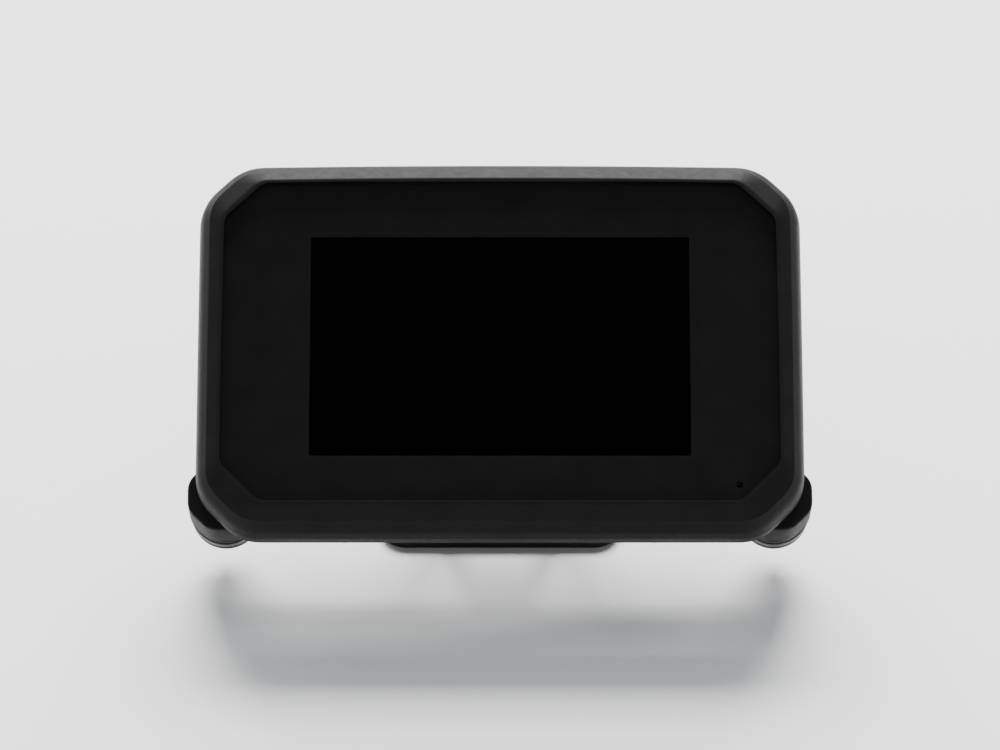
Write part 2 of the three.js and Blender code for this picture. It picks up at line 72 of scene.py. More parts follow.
scene = bpy.context.scene
CLUSTER, STAY = "cluster", "stay"
MM = 0.001
TINY = 1e-4  # in millimetres: anything shorter counts as nothing

# ---- places, from the CAD frame

float_axis = Vector(frame["joints"][0]["axis"])
RECLINE = atan2(float_axis.z, -float_axis.y)
TILT = Matrix.Rotation(-RECLINE, 4, "X")


def tilted_box(node, origin=Vector((0, 0, 0))):
    """A CAD node's lowest and highest corners, in millimetres, on axes that lean with the screen."""
    upright = TILT.inverted()
    points = [upright @ v.co / MM - origin for v in frame["nodes"][node].data.vertices]
    low = Vector([min(p[i] for p in points) for i in range(3)])
    high = Vector([max(p[i] for p in points) for i in range(3)])
    return low, high


def middle(corners):
    return (corners[0] + corners[1]) / 2


screen_origin = Vector((0, tilted_box("front_bezel")[0].y, middle(tilted_box("light_guide")).z))
SCREEN = TILT @ Matrix.Scale(MM, 4) @ Matrix.Translation(screen_origin)
FOOT = Matrix.Scale(MM, 4)
SCREEN_TO_FOOT = FOOT.inverted() @ SCREEN


def screen_box(node):
    return tilted_box(node, screen_origin)


def place_of(node):
    """The point (x, z) on the screen's axes that a CAD node is centred on."""
    centre = middle(screen_box(node))
    return centre.x, centre.z


def depths(node):
    low, high = screen_box(node)
    return low.y, high.y


def measured(node):
    """A CAD node's lowest and highest corners, its place, and its width and height."""
    low, high = screen_box(node)
    return low, high, place_of(node), (high.x - low.x, high.z - low.z)


def series(prefix):
    """The CAD nodes whose names start alike, in order."""
    return sorted(node for node in frame["nodes"] if node.startswith(prefix))


# ---- outlines

# A rectangle with cut corners. taper draws the sides in, most at the top, and crown bows the top edge.
Outline = namedtuple("Outline", "half low high chamfer taper crown radius")
WIDEST_AT = 0.25  # of the sides' height
CUT_CORNER_GROWTH = 2 - sqrt(2)
LEAST_RADIUS = 0.6
LONGEST_TRIM = 0.48  # of the shorter side next to a rounded corner


def between(a, b, t):
    return Outline(*(p + (q - p) * t for p, q in zip(a, b)))


def grown(outline, by):
    return outline._replace(
        half=outline.half + by,
        low=outline.low - by,
        high=outline.high + by,
        chamfer=outline.chamfer + CUT_CORNER_GROWTH * by,
        radius=max(outline.radius + by, LEAST_RADIUS),
    )


def turn(before, corner, after, steps):
    """Points of a smooth turn from before to after, round corner."""
    ts = [i / steps for i in range(steps + 1)]
    return [before * (1 - t) ** 2 + corner * 2 * t * (1 - t) + after * t * t for t in ts]


def run(a, b, steps):
    return [a.lerp(b, i / steps) for i in range(1, steps)]


def outline_points(o, edge_steps=12, corner_steps=12, cut_steps=4):
    """Points (x, z) round an outline, the right half upwards and then the left half down."""
    trim = o.radius * tan(pi / 8)
    shoulder_low, shoulder_high = o.low + o.chamfer, o.high - o.chamfer
    widest = shoulder_low + WIDEST_AT * (shoulder_high - shoulder_low)

    def side(z):
        return Vector((o.half - o.taper * ((z - widest) / (shoulder_high - widest)) ** 2, z))

    def top(x):
        return Vector((x, o.high - o.crown * (x / o.half) ** 2))

    right_low, right_high = side(shoulder_low), side(shoulder_high)
    foot_corner = Vector((right_low.x - o.chamfer, o.low))
    head_corner = top(right_high.x - o.chamfer)
    slope_low = (right_low - foot_corner).normalized() * trim
    slope_high = (head_corner - right_high).normalized() * trim
    bottom_end = foot_corner - Vector((trim, 0))
    side_start, side_end = side(shoulder_low + trim), side(shoulder_high - trim)
    top_start = top(head_corner.x - trim)

    points = [Vector((bottom_end.x * i / edge_steps, o.low)) for i in range(edge_steps)]
    points += turn(bottom_end, foot_corner, foot_corner + slope_low, corner_steps)
    points += run(foot_corner + slope_low, right_low - slope_low, cut_steps)
    points += turn(right_low - slope_low, right_low, side_start, corner_steps)
    span = side_end.y - side_start.y
    points += [side(side_start.y + span * i / edge_steps) for i in range(1, edge_steps)]
    points += turn(side_end, right_high, right_high + slope_high, corner_steps)
    points += run(right_high + slope_high, head_corner - slope_high, cut_steps)
    points += turn(head_corner - slope_high, head_corner, top_start, corner_steps)
    points += [top(top_start.x * (1 - i / edge_steps)) for i in range(1, edge_steps + 1)]
    left = [Vector((-p.x, p.y)) for p in reversed(points[1:-1])]
    return points + left


def rectangle(width, height, radius, x=0, z=0, steps=6):
    """Points (x, z) round a rectangle with rounded corners."""
    points = []
    for i, (sx, sz) in enumerate(((1, 1), (-1, 1), (-1, -1), (1, -1))):
        centre = Vector((x + sx * (width / 2 - radius), z + sz * (height / 2 - radius)))
        for k in range(steps + 1):
            angle = (i + k / steps) * pi / 2
            points.append(centre + Vector((cos(angle), sin(angle))) * radius)
    return points


def softened(points, radii, steps=5):
    """An open run of (x, y) points, its inner corners rounded off as far as their sides allow."""
    points = [Vector(p) for p in points]
    out = [points[0]]
    for before, corner, after, radius in zip(points, points[1:], points[2:], radii):
        back, ahead = before - corner, after - corner
        half_turn = (pi - back.angle(ahead)) / 2
        trim = min(radius * tan(half_turn), LONGEST_TRIM * min(back.length, ahead.length))
        if trim < TINY:
            out.append(corner)
            continue
        out += turn(corner + back.normalized() * trim, corner, corner + ahead.normalized() * trim, steps)
    return out + [points[-1]]


# ---- meshes

def loft(rings, closed=False):
    """A mesh through rings of equally many points. A ring of one point closes to a tip."""
    bm = bmesh.new()
    made = [[bm.verts.new(p) for p in ring] for ring in rings]
    pairs = list(zip(made, made[1:]))
    if closed:
        pairs.append((made[-1], made[0]))
    for a, b in pairs:
        count = max(len(a), len(b))
        for i in range(count):
            j = (i + 1) % count
            corners = (a[i % len(a)], a[j % len(a)], b[j % len(b)], b[i % len(b)])
            bm.faces.new(tuple(dict.fromkeys(corners)))
    if not closed:
        for ring in (made[0], made[-1]):
            if len(ring) > 2:
                bm.faces.new(ring)
    bmesh.ops.recalc_face_normals(bm, faces=bm.faces)
    return bm


def at_depth(points, y):
    return [Vector((p.x, y, p.y)) for p in points]


def rims(edge, front, back):
    """(inset, y) pairs from front to back of a plate whose two rims are rounded by edge."""
    rounding = [(edge * (1 - sin(a)), edge * (1 - cos(a))) for a in (0, pi / 4, pi / 2)]
    near = [(inset, front + rise) for inset, rise in rounding]
    far = [(inset, back - rise) for inset, rise in reversed(rounding)]
    return near + far


def prism(points, front, back, edge=0.0):
    """A plate of one run of points between two depths, its rims rounded by edge."""
    if not edge:
        return loft([at_depth(points, front), at_depth(points, back)])
    centre = sum(points, Vector((0, 0))) / len(points)

    def drawn_in(by):
        return [p - (p - centre).normalized() * by for p in points]

    return loft([at_depth(drawn_in(inset), y) for inset, y in rims(edge, front, back)])


def boxy(size, place, corner, profile, closed=False):
    """A loft through rounded rectangles: (inset, y) pairs. corner(inset) is their corners' radius."""
    rings = []
    for inset, y in profile:
        width, height = (side - 2 * inset for side in size)
        rings.append(at_depth(rectangle(width, height, corner(inset), *place), y))
    return loft(rings, closed)


def block(x, z, width, height, front, back, edge=0.0):
    """A box centred on (x, z) between two depths, its edges rounded."""
    bm = bmesh.new()
    bmesh.ops.create_cube(bm, size=1, matrix=Matrix.LocRotScale(
        Vector((x, (front + back) / 2, z)), None, Vector((width, back - front, height))))
    if edge:
        bmesh.ops.bevel(bm, geom=bm.edges[:], offset=edge, segments=2, profile=0.5, affect="EDGES")
    return bm


def lathe(place, profile, sides=48, shape=None):
    """A turned piece about a line along y. shape(angle, i) may scale the radius of point i."""
    x, z = place
    rings = []
    for i, (radius, y) in enumerate(profile):
        if radius < TINY:
            rings.append([Vector((x, y, z))])
            continue
        ring = []
        for k in range(sides):
            angle = 2 * pi * k / sides
            r = radius * (shape(angle, i) if shape else 1)
            ring.append(Vector((x + r * cos(angle), y, z + r * sin(angle))))
        rings.append(ring)
    is_ring = (Vector(profile[0]) - Vector(profile[-1])).length < TINY
    return loft(rings[:-1] if is_ring else rings, closed=is_ring)


def rod(place, radius, front, back, sides=32):
    return lathe(place, [(radius, front), (radius, back)], sides)


def six_lobed(first, last):
    """A lathe shape: points first to last are a screw's six-lobed drive, and the rest are round."""
    return lambda angle, i: 1 + 0.13 * cos(6 * angle) if first <= i <= last else 1


def joined(parts):
    """Several meshes as one, its shells left apart. The parts are used up."""
    whole = bmesh.new()
    for part in parts:
        mesh = bpy.data.meshes.new("part")
        part.to_mesh(mesh)
        part.free()
        whole.from_mesh(mesh)
        bpy.data.meshes.remove(mesh)
    return whole


def new_object(name, bm):
    """A mesh as an object in the scene. The mesh is used up."""
    mesh = bpy.data.meshes.new(name)
    bm.to_mesh(mesh)
    bm.free()
    obj = bpy.data.objects.new(name, mesh)
    scene.collection.objects.link(obj)
    return obj


def shaped(base, adds=(), cuts=(), edge=0.0):
    """base with some meshes joined on and others cut away, its sharp edges rounded by edge."""
    obj = new_object("shaped", base)
    helpers = []
    for operation, tools in (("UNION", adds), ("DIFFERENCE", cuts)):
        if not tools:
            continue
        tool = new_object("tool", joined(tools))
        helpers.append(tool)
        modifier = obj.modifiers.new(operation, "BOOLEAN")
        modifier.operation = operation
        modifier.solver = "EXACT"
        modifier.use_self = True
        modifier.object = tool
    if edge:
        bevel = obj.modifiers.new("edge", "BEVEL")
        bevel.width = edge
        bevel.segments = 2
        bevel.limit_method = "ANGLE"
        bevel.angle_limit = radians(50)
    bpy.context.view_layer.update()
    evaluated = obj.evaluated_get(bpy.context.evaluated_depsgraph_get())
    result = bmesh.new()
    result.from_mesh(evaluated.to_mesh())
    evaluated.to_mesh_clear()
    for helper in [obj, *helpers]:
        mesh = helper.data
        bpy.data.objects.remove(helper)
        bpy.data.meshes.remove(mesh)
    return result


def piece(name, bm, material, stands_for=(), body=CLUSTER, matrix=SCREEN, sharp=38, flats=True):
    """A finished piece: placed, shaded, and riding on its body if it is given one.

    Edges turning by more than sharp degrees stay crisp. flats keeps its broad faces even.
    """
    bmesh.ops.remove_doubles(bm, verts=bm.verts, dist=TINY)
    obj = new_object(name, bm)
    mesh = obj.data
    mesh.transform(matrix)
    mesh.shade_smooth()
    mesh.set_sharp_from_angle(angle=radians(sharp))
    mesh.materials.append(material)
    if flats:
        weighted = obj.modifiers.new("weighted", "WEIGHTED_NORMAL")
        weighted.keep_sharp = True
    if body:
        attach(obj, body)
    if stands_for:
        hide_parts(*stands_for)
    return obj


# ---- materials

class Recipe:
    """A principled material and the few node chains that the finishes share."""

    NOISE_RANGE = (0.3, 0.7)  # most of a noise's values lie between these

    def __init__(self, name, roughness=0.5, metallic=0.0, **settings):
        self.material = bpy.data.materials.new(name)
        self.material.use_nodes = True
        self.tree = self.material.node_tree
        self.bsdf = self.tree.nodes["Principled BSDF"]
        for socket, value in {"Roughness": roughness, "Metallic": metallic, **settings}.items():
            self.bsdf.inputs[socket.replace("_", " ")].default_value = value
        self.place = self.add("ShaderNodeTexCoord").outputs["Object"]
        self.normal = None

    def add(self, kind, **values):
        node = self.tree.nodes.new(kind)
        for key, value in values.items():
            if key in node.inputs:
                node.inputs[key].default_value = value
            else:
                setattr(node, key, value)
        return node

    def link(self, source, target):
        self.tree.links.new(source, target)

    def noise(self, size_mm, detail=3.0, stretch=None):
        """Noise whose features are about size_mm across, from 0 to 1."""
        node = self.add("ShaderNodeTexNoise", Scale=1000.0 / size_mm, Detail=detail)
        place = self.place
        if stretch:
            mapping = self.add("ShaderNodeMapping", Scale=stretch)
            self.link(place, mapping.inputs["Vector"])
            place = mapping.outputs["Vector"]
        self.link(place, node.inputs["Vector"])
        return node.outputs["Fac"]

    def cells(self, size_mm):
        node = self.add("ShaderNodeTexVoronoi", Scale=1000.0 / size_mm)
        self.link(self.place, node.inputs["Vector"])
        return node.outputs["Distance"]

    def ramp(self, factor, *stops):
        """Colours at places from 0 to 1: stops are (place, colour)."""
        node = self.add("ShaderNodeValToRGB")
        elements = node.color_ramp.elements
        while len(elements) < len(stops):
            elements.new(0.5)
        for element, (position, colour) in zip(elements, stops):
            element.position = position
            element.color = (*colour, 1)
        self.link(factor, node.inputs["Fac"])
        return node.outputs["Color"]

    def colour(self, source):
        self.link(source, self.bsdf.inputs["Base Color"])
        return self

    def mottled(self, dark, light, size_mm, detail=4.0):
        low, high = self.NOISE_RANGE
        return self.colour(self.ramp(self.noise(size_mm, detail), (low, dark), (high, light)))

    def roughened(self, low, high, size_mm):
        start, end = self.NOISE_RANGE
        limits = {"From Min": start, "From Max": end, "To Min": low, "To Max": high}
        node = self.add("ShaderNodeMapRange", **limits)
        self.link(self.noise(size_mm, 5.0), node.inputs["Value"])
        self.link(node.outputs["Result"], self.bsdf.inputs["Roughness"])
        return self

    def bump(self, height, strength, depth_mm):
        node = self.add("ShaderNodeBump", Strength=strength, Distance=depth_mm * MM)
        self.link(height, node.inputs["Height"])
        if self.normal:
            self.link(self.normal, node.inputs["Normal"])
        self.normal = node.outputs["Normal"]
        self.link(self.normal, self.bsdf.inputs["Normal"])
        return self


def grey(value, warmth=0.0):
    return (value * (1 + warmth), value, value * (1 - warmth))


def moulded(name, value, roughness=0.5, grain_mm=0.35, depth_mm=0.05, specular=0.4):
    """Plastic or print with a fine moulded grain. value is its mean brightness."""
    recipe = Recipe(name, roughness, Specular_IOR_Level=specular)
    recipe.mottled(grey(value * 0.9), grey(value * 1.1), 9)
    recipe.roughened(roughness - 0.04, roughness + 0.05, 2)
    recipe.bump(recipe.cells(grain_mm), 0.35, depth_mm)
    recipe.bump(recipe.noise(grain_mm * 2.4, 4), 0.3, depth_mm)
    return recipe.material


def plated(name, dark, light, roughness=0.3, scratch_mm=0.5):
    """Plated or polished metal with faint handling marks."""
    recipe = Recipe(name, roughness, 1.0)
    recipe.mottled(dark, light, 1.6, 6.0)
    recipe.roughened(roughness - 0.03, roughness + 0.07, 1.2)
    recipe.bump(recipe.noise(scratch_mm, 6), 0.12, 0.015)
    return recipe.material


def elastomer(name, value):
    recipe = Recipe(name, 0.8, Specular_IOR_Level=0.25)
    recipe.mottled(grey(value * 0.8), grey(value * 1.3, 0.02), 3)
    recipe.roughened(0.68, 0.9, 2)
    recipe.bump(recipe.noise(0.6, 6), 0.35, 0.05)
    return recipe.material


def clear_resin(name, colour, ior):
    recipe = Recipe(name, 0.05, Transmission_Weight=1.0, IOR=ior)
    return recipe.mottled(colour, [c * 1.05 for c in colour], 30).material


def solder_mask():
    """Green board with straight tracks between blocks of two close greens."""
    recipe = Recipe("solder_mask", 0.35)
    tracks = recipe.add(
        "ShaderNodeTexBrick", Scale=260.0, offset=0.35, **{"Mortar Size": 0.012},
        Color1=(0.004, 0.05, 0.018, 1), Color2=(0.006, 0.075, 0.026, 1), Mortar=(0.012, 0.13, 0.045, 1))
    recipe.link(recipe.place, tracks.inputs["Vector"])
    recipe.colour(tracks.outputs["Color"])
    recipe.roughened(0.3, 0.45, 5)
    recipe.bump(tracks.outputs["Fac"], 0.4, 0.04)
    return recipe.material


def powder_coat():
    """Satin black coat on steel, with the fine orange peel of powder."""
    recipe = Recipe("powder_coat", 0.42, Specular_IOR_Level=0.22)
    recipe.mottled(grey(0.007), grey(0.011), 22)
    recipe.roughened(0.36, 0.5, 5)
    recipe.bump(recipe.noise(1.1, 2), 0.35, 0.07)
    recipe.bump(recipe.noise(0.25, 4), 0.2, 0.02)
    return recipe.material


def soft_film(name, dark, light, size_mm=14, roughness=0.75):
    recipe = Recipe(name, roughness)
    recipe.mottled(grey(dark), grey(light), size_mm)
    return recipe.roughened(roughness - 0.05, roughness + 0.1, 2).material


def polyimide():
    recipe = Recipe("polyimide", 0.35)
    stripes = recipe.noise(1.2, 1, stretch=(1.0, 0.02, 0.02))
    recipe.colour(recipe.ramp(stripes, (0.42, (0.32, 0.13, 0.02)), (0.55, (0.5, 0.24, 0.05))))
    return recipe.roughened(0.3, 0.42, 3).material


CASING = moulded("casing_plastic", 0.0122, 0.48, grain_mm=0.5, depth_mm=0.07, specular=0.05)
BACK_CASING = moulded("back_casing_plastic", 0.0085, 0.54, grain_mm=0.6, depth_mm=0.09, specular=0.08)
INNER = moulded("inner_plastic", 0.045, 0.62, grain_mm=0.6)
SOCKET = moulded("socket_plastic", 0.009, 0.48, grain_mm=0.3, depth_mm=0.04, specular=0.1)
CHIP = moulded("chip_epoxy", 0.02, 0.5, grain_mm=0.2)
CERAMIC = Recipe("cream_ceramic", 0.45).mottled(
    (0.66, 0.62, 0.48), (0.78, 0.74, 0.6), 2).roughened(0.38, 0.55, 1.5).material
RUBBER = elastomer("black_rubber", 0.012)
PAD = elastomer("heat_pad", 0.2)
ZINC = plated("zinc_plate", (0.2, 0.205, 0.212), (0.26, 0.265, 0.27))
TRAY = plated("rolled_steel", (0.4, 0.41, 0.42), (0.5, 0.51, 0.52), 0.38, scratch_mm=1.5)
BRASS = plated("brass", (0.52, 0.37, 0.14), (0.66, 0.48, 0.2))
STEEL = powder_coat()
# The lens is dark-tinted and anti-reflection coated, so that it mirrors very little.
LENS_TINT = Recipe("smoked_lens", 0.32, Transmission_Weight=1.0, IOR=1.02).mottled(
    (0.55, 0.56, 0.57), (0.6, 0.61, 0.62), 60).roughened(0.29, 0.34, 14).material
PRINT = moulded("printed_border", 0.0096, 0.34, grain_mm=0.12, depth_mm=0.002, specular=0.028)
BOND = clear_resin("optical_resin", (0.93, 0.94, 0.95), ior=1.003)
GUIDE = clear_resin("guide_resin", (0.85, 0.9, 0.92), ior=1.49)
PANEL = Recipe("unlit_panel", 0.3, Specular_IOR_Level=0.0).mottled(grey(0.002), grey(0.003), 12).material
FILM = soft_film("optical_film", 0.75, 0.85)
MEMBRANE = soft_film("membrane", 0.8, 0.9, size_mm=0.8, roughness=0.85)
BOARD = solder_mask()
RIBBON = polyimide()

# The CAD nodes whose shape is right keep it and get only a finish.
KEPT_NODES = {
    "optical_bond": BOND, "lcd_panel": PANEL, "diffuser_sheet": FILM, "light_guide": GUIDE,
    "reflector_sheet": FILM, "backlight_strip": CERAMIC, "lcd_ribbon": RIBBON, "display_carrier": INNER,
    "ribbon_connector": CERAMIC, "breather_membrane": MEMBRANE,
}


def finish_kept_nodes():
    for name, material in KEPT_NODES.items():
        for slot in frame["nodes"][name].material_slots:
            slot.material = material


# ---- the cluster's outlines and depths

def outline_of(node, chamfer, radius, taper=0.0, crown=0.0):
    low, high = screen_box(node)
    return Outline(high.x, low.z, high.z, chamfer, taper, crown, radius)


BAND = 4.0  # width of the bevelled band round the opening
FLARE = 3.2  # how far the sides spread behind it

BODY = outline_of("front_bezel", chamfer=12.4, radius=15.0, taper=0.2, crown=0.9)
RIM = grown(BODY, -FLARE)
LENS = outline_of("cover_lens", chamfer=11.8, radius=6.3)
WINDOW = grown(LENS, -1.3)
OPENING = WINDOW._replace(taper=0.5, crown=0.9)
FLANGE = grown(BODY, -0.6)
TUB = Outline(half=79.5, low=-47.6, high=49.4, chamfer=11.0, taper=0.6, crown=0.6, radius=6.0)

LIP_BACK = 1.2
BEZEL_BACK = depths("front_bezel")[1]
LENS_FRONT, LENS_BACK = depths("cover_lens")
HOUSING_FRONT, HOUSING_BACK = depths("rear_housing")
FLANGE_BACK = HOUSING_FRONT + 3
WALL = 2.2
WALL_INSIDE = HOUSING_BACK - WALL

MOUNTS = {name: place_of(f"mount_bolt_{name}") for name in ("left", "right", "top")}
SCREWS = [place_of(node) for node in series("housing_screw")]
BOARD_SCREWS = [place_of(node) for node in series("board_screw")]
SENSOR = place_of("sensor_light_pipe")
SOCKET_AT = place_of("connector_pins")
VENT_AT = place_of("breather_membrane")
EAR_RADIUS = 10.2
SCREW_HOLE, BOLT_BORE = 1.5, 3.3
BOLT_SEAT = 40.0
STAY_FRONT, STAY_BACK = 33.5, 36.5
THICK = STAY_BACK - STAY_FRONT


def ringed(profile, closed=False):
    """A loft through outlines at depths: (outline, y) pairs."""
    return loft([at_depth(outline_points(outline), y) for outline, y in profile], closed)


def plate(outline, front, back, edge):
    """A plate of an outline with rounded rims."""
    return ringed([(grown(outline, -inset), y) for inset, y in rims(edge, front, back)])


def gasket(name, node, inner, outer, flat):
    """A rubber ring between two outlines, its edges pointed. flat is where its faces begin and end."""
    front, back = depths(node)
    centre = (front + back) / 2
    section = ((flat, front), (1 - flat, front), (1, centre), (1 - flat, back), (flat, back), (0, centre))
    ring = ringed([(between(inner, outer, t), y) for t, y in section], closed=True)
    piece(name, ring, RUBBER, [node])


# ---- bezel, seal, lens

def bezel_outline(u):
    """The outline at a distance u outwards from the opening."""
    if u <= BAND:
        return between(OPENING, RIM, u / BAND)
    return between(RIM, BODY, (u - BAND) / FLARE)


def front_bezel():
    """The rim: an undercut lip, the bevelled band, the shoulder, the flared side and the back edge."""
    undercut, back_edge, pocket_gap = 0.35, 0.5, 1.6
    widest = BAND + FLARE
    lip = [(undercut, LIP_BACK), (0.0, 0.0), (0.8, 0.04)]
    side = [(BAND, 2.4), (BAND + 2.4, 5.6), (widest, 10.5)]
    back = [(widest, BEZEL_BACK - back_edge), (widest - back_edge, BEZEL_BACK)]
    outside = softened(lip + side + back, (0.05, 2.4, 0.8, 9.0, 3.0, back_edge), 9)
    profile = [(bezel_outline(p.x), p.y) for p in outside]
    pocket = grown(WINDOW, pocket_gap)
    profile += [(pocket, BEZEL_BACK), (pocket, LIP_BACK)]
    rim = ringed(profile, closed=True)
    piece("bezel", rim, CASING, ["front_bezel"], sharp=50, flats=False)


def cover_lens():
    gasket("lens_gasket", "lens_seal", grown(WINDOW, 0.3), grown(WINDOW, 1.3), flat=0.2)
    lens = plate(LENS, LENS_FRONT, LENS_BACK, 0.35)
    piece("smoked_cover", lens, LENS_TINT, ["cover_lens"])


def border_film():
    """The dark print on the lens, open over the lit area and the light sensor."""
    lit_width, lit_height, lit_corner, aperture_radius = 108.2, 65.0, 0.4, 0.9
    front, back = LENS_FRONT - 0.12, LENS_FRONT - 0.03
    opening = prism(rectangle(lit_width, lit_height, lit_corner), front - 1, back + 1)
    aperture = rod(SENSOR, aperture_radius, front - 1, back + 1)
    sheet = grown(WINDOW, 1.1)
    ink = shaped(ringed([(sheet, front), (sheet, back)]), cuts=[opening, aperture])
    piece("border_film", ink, PRINT)


# ---- rear housing

def ear(place):
    """A lug round a mounting point, eight-sided to follow the housing's cut corner."""
    angles = [(k - 0.5) * pi / 4 for k in range(8)]
    corners = [Vector(place) + Vector((cos(a), sin(a))) * EAR_RADIUS / cos(pi / 8) for a in angles]
    points = []
    for before, at, after in zip(corners[-1:] + corners, corners, corners[1:] + corners[:1]):
        points += turn(at.lerp(before, 0.3), at, at.lerp(after, 0.3), 5)
    return prism(points, FLANGE_BACK - 0.3, HOUSING_BACK, 0.9)


def housing_shell():
    """The flange behind the bezel, then the tub: a fillet, a slight draft and a rounded back edge."""
    fillet, draft, edge, steps = 1.0, 0.4, 3.0, 6
    section = [(0, HOUSING_FRONT), (1, HOUSING_FRONT), (1, FLANGE_BACK), (0, FLANGE_BACK)]
    rings = [(grown(TUB, -2.0), HOUSING_FRONT)]
    rings += [(between(TUB, FLANGE, p.x), p.y) for p in softened(section, (0.5, 0.5))[1:-1]]
    rings += [(grown(TUB, fillet), FLANGE_BACK), (grown(TUB, 0.3), FLANGE_BACK + 0.3),
              (TUB, FLANGE_BACK + fillet), (grown(TUB, 0.05 - draft), HOUSING_BACK - edge - 0.2)]
    for a in (k / steps * pi / 2 for k in range(1, steps + 1)):
        rings.append((grown(TUB, -draft - edge * (1 - cos(a))), HOUSING_BACK - edge * (1 - sin(a))))
    return ringed(rings)


def ear_webs(side):
    """Thin webs that brace an ear, sloping down to the flange along the side and the lower edge."""
    root, half_thick = FLANGE_BACK - 0.4, 0.9
    webs = []
    for across, start, end in ((Vector((1, 0, 0)), (81.5, -33), (81.5, -13)),
                               (Vector((0, 0, 1)), (72, -49.6), (54, -49.6))):
        rings = []
        for (x, z), top in ((start, HOUSING_BACK - 2.5), (end, root + 0.8)):
            rings.append([Vector((side * x, y, z)) + across * s * half_thick
                          for s, y in ((-1, root), (1, root), (1, top), (-1, top))])
        webs.append(loft(rings))
    return webs


def back_ribs():
    """Low stiffening ribs moulded on the back, clear of the stay and the socket."""
    width, height, edge = 1.4, 0.9, 0.3
    level = [(side * 44, 40 - 6 * row, 56, width) for side in (-1, 1) for row in range(3)]
    upright = [(x, -16, width, 20) for x in (-66, -60, -54, 65, 70)]
    return [block(*rib, HOUSING_BACK - 1, HOUSING_BACK + height, edge) for rib in level + upright]


def housing_additions():
    """Ears and webs, spacers for the screws, posts inside, rims round socket and vent, and ribs."""
    spacer, top_post, board_post = 1.9, 7.5, 3.5  # radii
    post_end = WALL_INSIDE + 1
    parts = [ear(MOUNTS[name]) for name in ("left", "right")]
    parts += [web for side in (-1, 1) for web in ear_webs(side)]
    parts += [rod(place, spacer, BEZEL_BACK + 0.05, FLANGE_BACK - 0.5, 24) for place in SCREWS]
    parts.append(rod(MOUNTS["top"], top_post, 18.5, post_end))
    parts += [rod(place, board_post, 16.9, post_end) for place in BOARD_SCREWS]
    parts.append(block(*place_of("processor"), 18, 18, 20.3, post_end, 0.4))
    socket_rim = rectangle(40, 22, 4, *SOCKET_AT)
    parts.append(prism(socket_rim, HOUSING_BACK - 1, HOUSING_BACK + 0.8, 0.5))
    vent_rim = [
        (0, 29), (9.6, 29), (9.6, 30.5), (9.2, 30.8), (8.3, 30.8), (8.0, 30.5), (8.0, 30.1), (0, 30.1)]
    parts.append(lathe(VENT_AT, vent_rim))
    return parts + back_ribs()


def housing_holes():
    """Holes for mounts and screws, openings for socket and vent, and a shallow field for a label."""
    outside = 33
    mount_hole, head_well, vent_well, vent_hole = 4.3, 2.75, 6, 1.5  # radii
    rods = [(place, mount_hole, 20, 32) for place in MOUNTS.values()]
    rods += [(place, SCREW_HOLE, HOUSING_FRONT - 1, FLANGE_BACK + 1, 12) for place in SCREWS]
    rods += [(place, head_well, FLANGE_BACK, FLANGE_BACK + 8, 24) for place in SCREWS]
    rods += [(place, SCREW_HOLE, 16, 24, 12) for place in BOARD_SCREWS]
    cuts = [rod(*measures) for measures in rods]
    cuts.append(prism(rectangle(34.6, 16.6, 2, *SOCKET_AT), 26, outside))
    cuts += [rod(VENT_AT, vent_well, 28.9, outside), rod(VENT_AT, vent_hole, 26, outside, 16)]
    cuts.append(prism(rectangle(40, 16, 1.5, -24, -16), HOUSING_BACK - 0.35, outside))
    return cuts


def rear_housing():
    cavity = plate(grown(TUB, -WALL), HOUSING_FRONT - 1, WALL_INSIDE, 0.5)
    shell = shaped(housing_shell(), cuts=[cavity])
    shell = shaped(shell, housing_additions(), housing_holes())
    piece("back_housing", shell, BACK_CASING, ["rear_housing"], sharp=35)


# ---- display module and board

def slab(node, material, corner, edge):
    """A rounded plate in place of a plain CAD block."""
    low, high, place, size = measured(node)
    outline = rectangle(*size, corner, *place)
    piece(node + "_body", prism(outline, low.y, high.y, edge), material, [node])


def backlight_tray():
    low, high, place, size = measured("backlight_tray")
    wall = 0.5
    folded = boxy(size, place, lambda inset: max(1.2 - inset, 0.3), [
        (0.7, high.y), (0.2, high.y - 0.2), (0, high.y - 0.7), (0, low.y), (wall, low.y),
        (wall, high.y - wall - 0.2), (wall + 0.2, high.y - wall)])
    piece("folded_tray", folded, TRAY, ["backlight_tray"])


def light_pipe():
    low, high, place, (width, _) = measured("sensor_light_pipe")
    radius = width / 2
    profile = [
        (0, low.y), (radius * 0.6, low.y + 0.1), (radius * 0.9, low.y + 0.35), (radius, low.y + 0.7),
        (radius, high.y - 0.3), (radius - 0.3, high.y), (0, high.y)]
    piece("light_pipe", lathe(place, profile, 32), GUIDE, ["sensor_light_pipe"])


def main_board():
    """The board, with a notch for the ribbon, its screw holes and two slots."""
    low, high = screen_box("main_board")
    front, back = low.y - 1, high.y + 1
    cuts = [block(0, low.z, 28, 6.4, front, back)]
    cuts += [rod(place, SCREW_HOLE, front, back, 24) for place in BOARD_SCREWS]
    cuts += [prism(rectangle(6, 1.6, 0.7, x, 41), front, back) for x in (-30, 30)]
    outline = outline_of("main_board", chamfer=11, radius=2)
    board = shaped(plate(outline, low.y, high.y, 0.1), cuts=cuts)
    piece("circuit_board", board, BOARD, ["main_board"], sharp=30)


